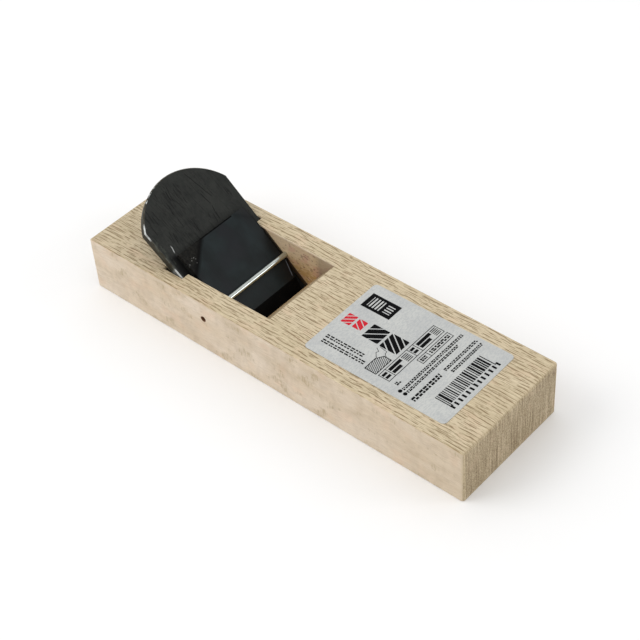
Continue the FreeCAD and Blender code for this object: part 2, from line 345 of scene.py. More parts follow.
    # painted shadow: a dark band on the far cheek, where the breaker's edge leaves a shaded gap
    _, down, _, off = slope_coordinates(g, breaker_angle, breaker_origin)
    wear_and_painted_light = g.math("MULTIPLY", g.step(off, 2.35, 2.0), g.step(off, -0.6, 0.0))
    wear_and_painted_light = g.math("MULTIPLY", wear_and_painted_light, g.math("MULTIPLY", g.step(down, 4.0, 2.0), g.step(y, 16.5, 17.0)))
    colour = g.mix(g.math("MULTIPLY", g.math("MULTIPLY", wear_and_painted_light, inside), 0.9), colour,
                   linear(26, 21, 17))

    # handled edges
    to_end = g.math("SUBTRACT", block_half_length, g.math("ABSOLUTE", x))
    to_side = g.math("SUBTRACT", block_half_width, g.math("ABSOLUTE", y))
    to_face = g.math("MINIMUM", z, g.math("SUBTRACT", block_top, z))
    nearer = g.math("MINIMUM", to_end, to_side)
    farther = g.math("MAXIMUM", to_end, to_side)
    to_edge = g.math("MINIMUM", farther, g.math("MAXIMUM", nearer, to_face))
    wobble = g.noise(g.mm, (3.0, 3.0, 3.0), 3.0, 0.6, seed=12.0)
    edge = g.step(to_edge, 0.9, 0.1)
    worn = g.math("MULTIPLY", edge, g.step(wobble, 0.35, 0.65))
    colour = g.mix(g.math("MULTIPLY", worn, 0.35), colour, linear(192, 168, 128))
    at_front = g.step(x, block_half_length - 2.5, block_half_length - 1.6)
    front_edge = g.math("MULTIPLY", g.step(to_edge, 1.5, 1.0), at_front)
    chips = g.step(g.noise(g.mm, (4.0, 3.0, 3.0), 2.0, 0.5, seed=27.0), 0.30, 0.70, 0.12, 0.42)
    colour = g.mix(g.math("MULTIPLY", front_edge, chips), colour, linear(206, 188, 154))

    # the drilled pin hole is scorched
    from_pin = g.vector("SUBTRACT", g.mm, (pin_centre.x, 0.0, pin_centre.z))
    px, _, pz = g.split(from_pin)
    radius = g.math("SQRT", g.math("ADD", g.math("MULTIPLY", px, px), g.math("MULTIPLY", pz, pz)))
    within = g.step(radius, pin_bore_radius + 0.07, pin_bore_radius)
    in_cheek = g.step(g.math("ABSOLUTE", y), pin_bore_start, pin_bore_start + 0.6)
    bore = g.math("MULTIPLY", within, in_cheek)
    blind_end = pin_high.y / MM        # the hole doesn't reach the far side
    bore = g.math("MULTIPLY", bore, g.step(y, blind_end + 0.4, blind_end + 0.2))
    colour = g.mix(bore, colour, linear(118, 80, 54))

    height = g.math("ADD", g.math("MULTIPLY", dash, -0.55), g.math("MULTIPLY", fibre, 0.5))
    height = g.math("ADD", height, g.math("MULTIPLY", fine_dash, -0.3))
    normal = g.bump(height, 0.10, 0.55)
    rough_grain = g.noise(g.mm, (0.5, 0.5, 0.9), 3.0, 0.65, seed=14.0)
    roughness = g.step(rough_grain, 0.2, 0.8, 0.48, 0.66)
    return g.finish(colour, roughness, normal)


def patch(g, along, across, centre, reach):
    """A soft oval area of a face."""
    a = g.math("DIVIDE", g.math("SUBTRACT", along, centre[0]), reach[0])
    b = g.math("DIVIDE", g.math("SUBTRACT", across, centre[1]), reach[1])
    distance = g.math("SQRT", g.math("ADD", g.math("MULTIPLY", a, a), g.math("MULTIPLY", b, b)))
    return g.step(distance, 1.15, 0.75)


def forged_iron():
    """Black forge scale with scratches down its length, its rim worn bright in places and given a painted
    highlight near the top of its near side.
    """
    g = Graph("iron_forge_scale", Specular_IOR_Level=0.14)
    p, along, across, off = slope_coordinates(g)
    facing = g.vector("DOT_PRODUCT", g.normal, (math.sin(iron_angle), 0.0, math.cos(iron_angle)))

    def hairlines(lean, length, width, seed, low, high):
        leaned = g.math("MULTIPLY_ADD", along, lean, across)
        return g.step(g.noise(g.join(along, leaned, off), (length, width, 3.0), 2.0, 0.5, seed=seed),
                      low, high)

    long_lines = hairlines(-0.05, 9.0, 0.30, 2.5, 0.57, 0.66)
    short_lines = hairlines(-0.10, 3.6, 0.30, 7.5, 0.54, 0.64)
    left_run = patch(g, along, across, (-25.0, -4.0), (8.0, 8.0))
    low_run = patch(g, along, across, (-12.5, -8.5), (6.5, 8.5))
    everywhere = g.step(g.noise(p, (9.0, 6.0, 6.0), 2.0, 0.5, seed=6.1), 0.46, 0.62, 0.30, 0.75)
    scratch = g.math("MULTIPLY", long_lines, everywhere)
    scratch = g.math("MAXIMUM", scratch, g.math("MULTIPLY", short_lines, g.math(
        "MULTIPLY", g.math("MAXIMUM", left_run, low_run), 0.6)))
    wander = g.math("MULTIPLY_ADD", g.noise(p, (5.0, 5.0, 5.0), 2.0, 0.5, seed=15.0), 0.8, -0.4)

    def stroke(a0, b0, a1, b1, width):
        """A scratch from one place on the face to another."""
        run = math.hypot(a1 - a0, b1 - b0)
        down, beside = (a1 - a0) / run, (b1 - b0) / run
        moved = g.vector("SUBTRACT", p, ((a0 + a1) / 2, (b0 + b1) / 2, 0.0))
        reach = g.math("ABSOLUTE", g.vector("DOT_PRODUCT", moved, (down, beside, 0.0)))
        away = g.math("ADD", g.vector("DOT_PRODUCT", moved, (-beside, down, 0.0)), wander)
        line = g.step(g.math("ABSOLUTE", away), width, width * 0.3)
        return g.math("MULTIPLY", line, g.step(reach, run / 2, run / 2 - 1.2))

    deep = [(-31.4, 7.9, -17.1, 11.5), (-21.7, 8.0, -15.3, 8.8), (-19.5, -6.5, -14.0, -6.9),
            (-26.0, -17.6, -20.8, -17.2), (-31.4, -1.9, -24.1, -3.4), (-29.1, -0.2, -23.5, -0.6)]
    # groups of short scratches: middle of the group, how far it spreads, how many
    draw = random.Random(5)
    for down, beside, spread_down, spread_beside, lean, count in (
            (-13.3, -13.6, 0.8, 2.0, -0.18, 5), (-11.2, -4.8, 0.8, 3.0, -0.05, 6),
            (-11.8, 6.5, 1.6, 2.0, -0.2, 4), (-14.0, 18.3, 2.5, 0.9, -0.08, 3),
            (-26.0, -3.5, 4.0, 5.0, -0.1, 7), (-22.0, -15.0, 2.5, 3.0, 0.0, 4)):
        for _ in range(count):
            a = down + draw.uniform(-1, 1) * spread_down
            b = beside + draw.uniform(-1, 1) * spread_beside
            half = draw.uniform(1.4, 3.0)
            deep.append((a - half, b - half * lean, a + half, b + half * lean))
    for line in deep:
        cut = g.math("MULTIPLY", stroke(*line, draw.uniform(0.18, 0.27)), draw.uniform(0.6, 1.0))
        scratch = g.math("MAXIMUM", scratch, cut)
    white = g.math("MULTIPLY", stroke(-12.2, -16.3, -8.4, -16.9, 0.24), 0.8)
    scale = g.noise(p, (1.6, 1.3, 1.3), 4.0, 0.6, seed=4.2)
    mottle = g.noise(p, (7.0, 7.0, 7.0), 3.0, 0.5, seed=1.7)
    pits = g.step(g.cells(p, (1.5, 1.2, 1.2), seed=3.3), 0.26, 0.10)
    colour = g.mix(g.step(mottle, 0.3, 0.7), linear(38, 40, 38), linear(48, 50, 47))
    colour = g.mix(g.step(scale, 0.35, 0.75, 0.0, 0.6), colour, linear(54, 54, 52))
    colour = g.mix(g.math("MULTIPLY", scratch, 0.92), colour, linear(8, 8, 8))
    colour = g.mix(g.math("MULTIPLY", pits, 0.35), colour, linear(24, 23, 22))
    # painted shadow: nearly black beside the breaker's near edge and ear
    breaker_side_painted_shadow = g.math("MULTIPLY", g.step(across, -16.6, -17.4), g.step(along, -9.5, -7.0))
    breaker_side_painted_shadow = g.math("MULTIPLY", breaker_side_painted_shadow, g.step(across, -20.6, -19.6))
    colour = g.mix(g.math("MULTIPLY", breaker_side_painted_shadow, 0.9), colour, linear(4, 4, 4))
    # the rim: brown on the chamfers, worn bright in nicks and low down beside the block, with a painted
    # highlight on the near shoulder's chamfer
    chamfer = g.math("MULTIPLY", g.step(facing, 0.30, 0.50), g.step(facing, 0.975, 0.90))
    colour = g.mix(g.math("MULTIPLY", chamfer, 0.6), colour, linear(66, 60, 44))
    colour = g.mix(g.step(facing, 0.30, 0.10, 0.0, 0.6), colour, linear(42, 37, 24))
    breakup = g.step(g.noise(p, (2.6, 1.4, 1.4), 3.0, 0.65, seed=9.9), 0.47, 0.60)
    near_rim = g.math("MULTIPLY", patch(g, along, across, (-9.0, -20.6), (9.0, 1.5)), breakup)
    colour = g.mix(g.math("MULTIPLY", near_rim, 0.5), colour, linear(72, 76, 68))
    # partly worn bright, partly painted highlight: the near shoulder's chamfer is lightened where light
    # catches it
    shoulder_wear_and_highlight = patch(g, along, across, (-21.5, -22.0), (4.0, 3.5))
    low_rim = patch(g, along, across, (-0.8, -21.5), (3.2, 3.0))
    head_rim = patch(g, along, across, (-32.0, -7.0), (6.0, 8.0))
    shoulder_wear_and_highlight = g.math("MULTIPLY", shoulder_wear_and_highlight, g.step(scale, 0.30, 0.60, 0.45, 0.95))
    wear_and_painted_light = g.math("MAXIMUM", g.math("MAXIMUM", shoulder_wear_and_highlight, low_rim), g.math("MULTIPLY", head_rim, breakup))
    wear_and_painted_light = g.math("MAXIMUM", wear_and_painted_light, g.math("MULTIPLY", breakup, 0.05))
    rim_wear_and_highlight = g.math("MULTIPLY", g.math("MULTIPLY", chamfer, wear_and_painted_light), g.step(across, 6.0, -8.0, 0.15, 1.0))
    low_side = g.math("MULTIPLY", g.step(facing, 0.975, 0.90), g.math("MULTIPLY", low_rim, 0.35))
    low_side = g.math("MULTIPLY", low_side, g.step(across, 6.0, -8.0))
    rim_wear_and_highlight = g.math("MAXIMUM", g.math("MAXIMUM", rim_wear_and_highlight, low_side), white)
    colour = g.mix(rim_wear_and_highlight, colour, linear(196, 198, 196))
    height = g.math("ADD", g.math("MULTIPLY", scale, 0.6), g.math("MULTIPLY", scratch, -0.9))
    height = g.math("ADD", height, g.math("MULTIPLY", pits, -0.6))
    normal = g.bump(height, 0.09, 0.7)
    roughness = g.math("SUBTRACT", g.step(scale, 0.2, 0.8, 0.46, 0.62), g.math("MULTIPLY", rim_wear_and_highlight, 0.15))
    return g.finish(colour, roughness, normal, g.math("MULTIPLY", rim_wear_and_highlight, 0.5))


def near_fold(g, along, across):
    """Millimetres beyond the fold of the breaker's near ear, towards its corner."""
    _, ear_across, ear_along = near_ear
    run = math.hypot(ear_across, ear_along)
    up = g.math("SUBTRACT", along, ear_along - breaker_length)
    beside = g.math("SUBTRACT", across, -breaker_half_width)
    return g.math("ADD", g.math("MULTIPLY", up, -ear_across / run),
                  g.math("MULTIPLY", beside, -ear_along / run))


def blued_steel():
    """Satin blue-black breaker, ground smooth."""
    g = Graph("steel_blued_satin", Specular_IOR_Level=0.2)
    p, along, across, _ = slope_coordinates(g, breaker_angle, breaker_origin)
    brushed = g.noise(p, (7.0, 0.12, 1.0), 2.0, 0.5, seed=2.8)
    cloud = g.noise(p, (9.0, 8.0, 8.0), 2.0, 0.5, seed=5.2)
    warm = g.noise(p, (14.0, 11.0, 9.0), 2.0, 0.5, seed=9.6)
    colour = g.mix(g.step(cloud, 0.3, 0.7), linear(11, 19, 20), linear(27, 37, 39))
    colour = g.mix(g.step(warm, 0.45, 0.7, 0.0, 0.7), colour, linear(25, 26, 31))
    colour = g.mix(g.step(brushed, 0.4, 0.8, 0.0, 0.35), colour, linear(36, 41, 44))
    # painted shade: a black line along the near edge, standing in for its shaded side
    flare = (breaker_half_width - breaker_edge_half_width) / breaker_taper_length
    half = g.math("MULTIPLY_ADD", along, -flare, breaker_edge_half_width)
    half = g.math("MINIMUM", half, breaker_half_width)
    colour = g.mix(g.step(g.math("ADD", half, across), 0.65, 0.35, 0.0, 0.85), colour, linear(5, 5, 5))
    # darker and warmer towards the far edge, with painted shadow in a black line along it, and a pale line
    # low down
    to_edge = g.math("SUBTRACT", half, across)
    colour = g.mix(g.step(to_edge, 6.5, 1.0, 0.0, 0.6), colour, linear(15, 14, 15))
    # painted shadow: nearly black along the far edge, for the shaded gap beside the mortise wall
    colour = g.mix(g.step(to_edge, 0.75, 0.45, 0.0, 0.9), colour, linear(4, 4, 4))
    inset = g.math("SUBTRACT", to_edge, g.math("MULTIPLY_ADD", along, 0.13, 2.55))
    line = g.step(g.math("ABSOLUTE", inset), 0.26, 0.10)
    line = g.math("MULTIPLY", line, g.math("MULTIPLY", g.step(along, -19.5, -17.8),
                                           g.step(along, -11.6, -12.6)))
    colour = g.mix(g.math("MULTIPLY", line, 0.55), colour, linear(126, 134, 146))
    normal = g.bump(brushed, 0.012, 0.4)
    roughness = g.step(cloud, 0.25, 0.75, 0.34, 0.46)
    return g.finish(colour, roughness, normal)


def painted_shade_steel():
    """The breaker's ground bevel and upper edge, dull and painted near black as shade: the bevel shaded in
    the throat, a shadow line along the upper edge.
    """
    g = Graph("steel_black_painted_shade", Specular_IOR_Level=0.04)
    p = slope_coordinates(g, breaker_angle, breaker_origin)[0]
    ground = g.noise(p, (0.14, 8.0, 1.0), 2.0, 0.5, seed=4.4)
    cloud = g.noise(p, (5.0, 6.0, 6.0), 2.0, 0.5, seed=6.6)
    colour = g.mix(g.step(cloud, 0.3, 0.7), linear(4, 4, 4), linear(9, 9, 9))
    colour = g.mix(g.step(ground, 0.5, 0.8, 0.0, 0.4), colour, linear(20, 20, 20))
    return g.finish(colour, g.step(ground, 0.2, 0.8, 0.5, 0.65), g.bump(ground, 0.01, 0.4))


def ear_steel():
    """The bent near ear, rough as forged, with small bright specks; its darker colour and the dark band at
    its fold are painted shade, where it bends away from the light.
    """
    g = Graph("steel_ear_forged_painted_shade", Specular_IOR_Level=0.08)
    p, along, across, _ = slope_coordinates(g, breaker_angle, breaker_origin)
    rough = g.noise(p, (1.0, 0.8, 0.8), 3.0, 0.65, seed=7.0)
    cloud = g.noise(p, (4.0, 4.0, 4.0), 2.0, 0.5, seed=9.0)
    colour = g.mix(g.step(rough, 0.3, 0.7), linear(13, 13, 12), linear(38, 37, 34))
    colour = g.mix(g.step(cloud, 0.4, 0.7, 0.0, 0.5), colour, linear(20, 21, 21))
    beyond = near_fold(g, along, across)
    # painted shade: darkest just beyond the fold, where the ear turns away from the light
    colour = g.mix(g.step(beyond, 1.5, -0.2), colour, linear(10, 10, 10))
    colour = g.mix(g.step(beyond, -0.2, -1.6), colour, linear(33, 38, 39))
    speck = g.step(g.cells(p, (1.3, 1.1, 1.1), seed=8.8), 0.24, 0.12)
    speck = g.math("MULTIPLY", speck, patch(g, along, across, (-39.8, -15.6), (4.0, 2.4)))
    colour = g.mix(g.math("MULTIPLY", speck, 0.6), colour, linear(140, 140, 136))
    return g.finish(colour, g.step(rough, 0.2, 0.8, 0.5, 0.7), g.bump(rough, 0.08, 0.6))


def hard_steel():
    """Ground and honed steel, with fine grinding lines across it."""
    g = Graph("steel_honed", Specular_IOR_Level=0.15)
    p, along, _, _ = slope_coordinates(g)
    lines = g.noise(p, (0.10, 9.0, 0.4), 2.0, 0.6, seed=3.7)
    cloud = g.noise(p, (8.0, 8.0, 8.0), 2.0, 0.5, seed=7.1)
    colour = g.mix(g.step(lines, 0.3, 0.7), linear(150, 152, 154), linear(186, 188, 190))
    colour = g.mix(g.step(cloud, 0.45, 0.8, 0.0, 0.4), colour, linear(120, 116, 108))
    # honed bright near the cutting edge, left black above
    honed = g.step(along, iron_edge - honed_length, iron_edge - honed_length + 1.0)
    scale = g.noise(p, (2.2, 1.4, 1.4), 4.0, 0.6, seed=5.8)
    dark = g.mix(g.step(scale, 0.3, 0.7), linear(24, 24, 24), linear(38, 39, 38))
    colour = g.mix(honed, dark, colour)
    normal = g.bump(lines, 0.006, 0.5)
    roughness = g.math("ADD", g.step(lines, 0.2, 0.8, 0.22, 0.36), g.step(honed, 1.0, 0.0, 0.0, 0.3))
    return g.finish(colour, roughness, normal, honed)


def bright_pin():
    """Drawn steel wire, bright, with a duller cut end."""
    g = Graph("pin_bright_steel", Metallic=1.0)
    drawn = g.noise(g.mm, (0.25, 6.0, 0.25), 2.0, 0.6, seed=1.1)
    cloud = g.noise(g.mm, (1.5, 3.0, 1.5), 2.0, 0.5, seed=2.1)
    colour = g.mix(g.step(drawn, 0.3, 0.7), linear(176, 182, 178), linear(202, 207, 203))
    colour = g.mix(g.step(cloud, 0.5, 0.8, 0.0, 0.3), colour, linear(146, 146, 138))
    normal = g.bump(drawn, 0.006, 0.4)
    _, y, _ = g.split(g.mm)
    cut_end = g.step(y, pin_low.y / MM + 0.06, pin_low.y / MM + 0.02)
    cut_colour = g.mix(g.step(cloud, 0.4, 0.7), linear(84, 62, 48), linear(214, 182, 150))
    colour = g.mix(cut_end, colour, cut_colour)
    roughness = g.math("MAXIMUM", g.step(drawn, 0.2, 0.8, 0.13, 0.22), g.math("MULTIPLY", cut_end, 0.6))
    return g.finish(colour, roughness, normal)


def label_foil():
    """Silver-grey paper with a faint woven emboss."""
    g = Graph("label_silver_paper", Specular_IOR_Level=0.3)
    wave_rate = 9.0              # of the emboss's two crossed waves, radians per millimetre
    cloud = g.noise(g.mm, (12, 9, 9), 2.0, 0.5, seed=1.9)
    x, y, _ = g.split(g.mm)
    across = g.math("SINE", g.math("MULTIPLY", g.math("ADD", x, y), wave_rate))
    down = g.math("SINE", g.math("MULTIPLY", g.math("SUBTRACT", x, y), wave_rate))
    emboss = g.math("MULTIPLY", across, down)
    crumple = g.noise(g.mm, (5, 5, 5), 3.0, 0.5, seed=3.4)
    colour = g.mix(g.step(cloud, 0.3, 0.7), linear(190, 191, 189), linear(200, 201, 197))
    weave = g.noise(g.mm, (0.55, 1.3, 1.0), 2.0, 0.6, seed=8.1)
    colour = g.mix(g.step(weave, 0.44, 0.60, 0.0, 0.35), colour, linear(160, 165, 168))
    colour = g.mix(g.step(emboss, -1.0, 1.0, 0.0, 0.10), colour, linear(160, 166, 170))
    height = g.math("ADD", g.math("MULTIPLY", emboss, 0.25), crumple)
    normal = g.bump(height, 0.03, 0.5)
    roughness = g.step(crumple, 0.2, 0.8, 0.36, 0.5)
    return g.finish(colour, roughness, normal)


def ink(name, dark, light):
    """Printing ink, slightly uneven."""
    g = Graph(name, Specular_IOR_Level=0.03)
    cover = g.noise(g.mm, (0.5, 0.5, 0.5), 3.0, 0.6, seed=6.3)
    colour = g.mix(g.step(cover, 0.35, 0.8), dark, light)
    normal = g.bump(cover, 0.01, 0.4)
    roughness = g.step(cover, 0.2, 0.8, 0.40, 0.55)
    return g.finish(colour, roughness, normal)


def paint(obj, material):
    obj.data.materials.clear()
    obj.data.materials.append(material)


paint(nodes["body_block"], oak())
paint(nodes["iron_soft_back"], forged_iron())
paint(nodes["iron_hard_steel"], hard_steel())
paint(nodes["breaker_steel_edge"], hard_steel())
paint(nodes["cross_pin"], bright_pin())
paint(nodes["paper_label"], label_foil())


# --- chip breaker: the plate again, with soft folds and eased edges -------------------
def breaker_half(x):
    """Half width of the plate, x millimetres from its lower edge (negative upward)."""
    if x < -breaker_taper_length:
        return breaker_half_width
    share = -x / breaker_taper_length
    return breaker_edge_half_width + (breaker_half_width - breaker_edge_half_width) * share


def ear_beyond(x, y, side, across, along):
    """Distance beyond an ear's fold line, towards the corner."""
    in_along = x + breaker_length
    in_across = breaker_half_width - side * y
    reach = across * along / math.hypot(across, along)
    return reach * (1 - in_along / along - in_across / across)


def ear_drop(x, y):
    """How far the bent upper corners are lowered at a point of the plate."""
    drop = 0.0
    for side, across, along in (near_ear, far_ear):
        reach = across * along / math.hypot(across, along)
        beyond = ear_beyond(x, y, side, across, along)
        if beyond > 0:
            eased = beyond * beyond / (beyond + fold_softness) * (reach + fold_softness) / reach
            drop += eased * breaker_rise / reach
    return drop


def build_breaker():
    """The plate as a grid of rows and columns above and below, closed round its edges."""
    row_pitch = 0.5
    step_width = 0.02            # of the step in the underside, where the steel facing begins
    columns = 56
    rows = sorted({-breaker_length + i * row_pitch for i in range(int(breaker_length / row_pitch) + 1)}
                  | {0.0, -breaker_bevel_length, -breaker_taper_length,
                     -breaker_steel_length, -breaker_steel_length + step_width})
    turn = Matrix.Rotation(breaker_angle, 3, "Y")
    mesh = bmesh.new()
    layers = []
    for upper in (True, False):
        layer = []
        for x in rows:
            half = breaker_half(x)
            line = []
            for i in range(columns + 1):
                y = half * (2 * i / columns - 1)
                if upper:
                    ground = max(0.0, x + breaker_bevel_length) / breaker_bevel_length
                    z = breaker_thickness - ground * (breaker_thickness - breaker_edge_thickness)
                else:
                    z = breaker_steel_thickness if x > -breaker_steel_length else 0.0
                z -= ear_drop(x, y)
                place = (turn @ Vector((x, y, z)) + breaker_origin) * MM
                line.append(mesh.verts.new(place))
            layer.append(line)
        layers.append(layer)
    top, under = layers
    last = len(rows) - 1
    for r in range(last):
        for i in range(columns):
            mesh.faces.new((top[r][i], top[r + 1][i], top[r + 1][i + 1], top[r][i + 1]))
            mesh.faces.new((under[r][i], under[r][i + 1], under[r + 1][i + 1], under[r + 1][i]))
        for i in (0, columns):
            mesh.faces.new((top[r][i], under[r][i], under[r + 1][i], top[r + 1][i]))
    for r in (0, last):
        for i in range(columns):
            mesh.faces.new((top[r][i], top[r][i + 1], under[r][i + 1], under[r][i]))
    # a straight edge just before the near ear's fold
    _, near_across, near_along = near_ear
    towards_corner = Vector((-near_across, -near_along, 0.0)).normalized()
    fold_foot = Vector((near_along - breaker_length, -breaker_half_width, 0.0))
    shade_foot = fold_foot - towards_corner * ear_shade
    bmesh.ops.bisect_plane(mesh, geom=mesh.verts[:] + mesh.edges[:] + mesh.faces[:],
                           plane_co=(turn @ shade_foot + breaker_origin) * MM,
                           plane_no=turn @ towards_corner)
    bmesh.ops.recalc_face_normals(mesh, faces=mesh.faces)
    data = bpy.data.meshes.new("breaker_plate_formed")
    mesh.to_mesh(data)
    mesh.free()
    plate = bpy.data.objects.new("breaker_plate_formed", data)
    bpy.context.scene.collection.objects.link(plate)
    data.materials.append(blued_steel())
    data.materials.append(painted_shade_steel())
    data.materials.append(ear_steel())
    upper_edge_shadow_strip = 0.6             # strip along the plate's upper edge that carries the painted shadow line
    back = Matrix.Rotation(-breaker_angle, 3, "Y")
    for face in data.polygons:
        face.use_smooth = True
        x, y, _ = back @ (face.center / MM - breaker_origin)
        between_ears = near_across - breaker_half_width < y < breaker_half_width - far_ear[1]
        if x > -breaker_bevel_length or (x < upper_edge_shadow_strip - breaker_length and between_ears):
            face.material_index = 1
        elif ear_beyond(x, y, *near_ear) > -ear_shade:
            face.material_index = 2
    bevel = plate.modifiers.new("eased_edges", "BEVEL")
    bevel.width = eased_edge * MM
    bevel.segments = 2
    bevel.limit_method = "ANGLE"
    bevel.angle_limit = math.radians(40)
    bevel.harden_normals = True
    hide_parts("breaker_plate")
    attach(plate, "chip_breaker")


build_breaker()


# --- print on the label: plain blocks, bars, boxes and stripes -----------------------
label_low, label_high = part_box("paper_label")
label_centre = (label_low + label_high) / 2
label_turn = math.radians(0.4)
ink_sunk = 0.01 * MM
ink_proud = 0.015 * MM
rule = 0.28                  # line width of the ruled boxes
hatch_lean = 0.4             # how far a hatch line leans for each millimetre of its run
block_slant = 0.7            # the same, for the gaps in the slotted blocks
hatch_pitch = 0.68
hatch_width = 0.28
dot_radius = 0.8
word_share = (0.35, 1.0)     # shortest and longest piece of a text run, in words
space_share = (0.15, 0.35)   # and the space after it
shortest_piece = 0.5
stripe_widths = (0.4, 0.6, 0.9, 1.1)
stripe_gaps = (0.36, 0.4, 0.65)
stripe_start = 66.5
stripe_end = 72.4
long_stripe_end = 73.6
last_stripe = 13.0
mark_pitch = 2.15


class Print:
    """Ink areas on the label. Points are millimetres from the label's centre."""

    def __init__(self, name, material):
        self.mesh = bmesh.new()
        self.name = name
        self.material = material

    def area(self, points):
        low = label_high.z - ink_sunk
        high = label_high.z + ink_proud
        cos, sin = math.cos(label_turn), math.sin(label_turn)
        rings = []
        for z in (low, high):
            ring = []
            for x, y in points:
                place = (label_centre.x + (x * cos - y * sin) * MM,
                         label_centre.y + (x * sin + y * cos) * MM, z)
                ring.append(self.mesh.verts.new(place))
            rings.append(ring)
        self.mesh.faces.new(reversed(rings[0]))
        self.mesh.faces.new(rings[1])
        for i in range(len(points)):
            j = (i + 1) % len(points)
            self.mesh.faces.new((rings[0][i], rings[0][j], rings[1][j], rings[1][i]))

    def bar(self, x0, y0, x1, y1):
        self.area([(x0, y0), (x1, y0), (x1, y1), (x0, y1)])

    def line(self, x0, y0, x1, y1, width):
        along = Vector((x1 - x0, y1 - y0)).normalized() * (width / 2)
        side = Vector((-along.y, along.x))
        a, b = Vector((x0, y0)) - along, Vector((x1, y1)) + along
        self.area([tuple(a - side), tuple(b - side), tuple(b + side), tuple(a + side)])

    def box(self, x0, y0, x1, y1, width):
        self.bar(x0, y0, x1, y0 + width)
        self.bar(x0, y1 - width, x1, y1)
        self.bar(x0, y0 + width, x0 + width, y1 - width)
        self.bar(x1 - width, y0 + width, x1, y1 - width)

    def finish(self):
        bmesh.ops.recalc_face_normals(self.mesh, faces=self.mesh.faces)
        data = bpy.data.meshes.new(self.name)
        self.mesh.to_mesh(data)
        self.mesh.free()
        piece = bpy.data.objects.new(self.name, data)
        bpy.context.scene.collection.objects.link(piece)
        data.materials.append(self.material)
        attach(piece, "plane_body")


black_ink = ink("ink_black", linear(8, 8, 9), linear(24, 24, 26))
red_ink = ink("ink_red", linear(196, 34, 48), linear(214, 62, 72))
rng = random.Random(42)


def local(x, y):
    """From the block's millimetres to the label's."""
    return x - label_centre.x / MM, y - label_centre.y / MM


def text_down(sheet, x0, x1, y0, y1, word):
    """A run of text across the block, greeked as pairs of thin bars in word-long pieces."""
    third = (x1 - x0) / 3
    for a, b in ((x0, x0 + third * 1.3), (x1 - third * 1.3, x1)):
        y = y0
        while y < y1 - shortest_piece:
            length = word * rng.uniform(*word_share)
            end = min(y + length, y1)
            sheet.bar(*local(a, y), *local(b, end))
            y = end + word * rng.uniform(*space_share)


def text_along(sheet, y0, y1, x0, x1, word):
    """The same, for a run of text along the block."""
    third = (y1 - y0) / 3
    for a, b in ((y0, y0 + third * 1.1), (y1 - third * 1.1, y1)):
        x = x0
        while x < x1 - shortest_piece:
            length = word * rng.uniform(*word_share)
            end = min(x + length, x1)
            sheet.bar(*local(x, a), *local(end, b))
            x = end + word * rng.uniform(*space_share)


def clip(points, a, b, limit):
    """The part of a polygon where a x + b y is at most limit."""
    kept = []
    for (x0, y0), (x1, y1) in zip(points, points[1:] + points[:1]):
        d0, d1 = a * x0 + b * y0 - limit, a * x1 + b * y1 - limit
        if d0 <= 0:
            kept.append((x0, y0))
        if d0 * d1 < 0:
            t = d0 / (d0 - d1)
            kept.append((x0 + (x1 - x0) * t, y0 + (y1 - y0) * t))
    return kept


def slotted_block(sheet, x0, y0, x1, y1, bands, gap, rising):
    """A solid rectangle crossed by slanting gaps."""
    lean = -block_slant if rising else block_slant
    corners = [(x0, y0), (x1, y0), (x1, y1), (x0, y1)]
    values = [lean * x + y for x, y in corners]
    low, high = min(values), max(values)
    pitch = (high - low) / bands
    for i in range(bands):
        band = clip(corners, -lean, -1.0, -(low + i * pitch + gap / 2))
        band = clip(band, lean, 1.0, low + (i + 1) * pitch - gap / 2)
        if len(band) > 2:
            sheet.area([local(*corner) for corner in band])


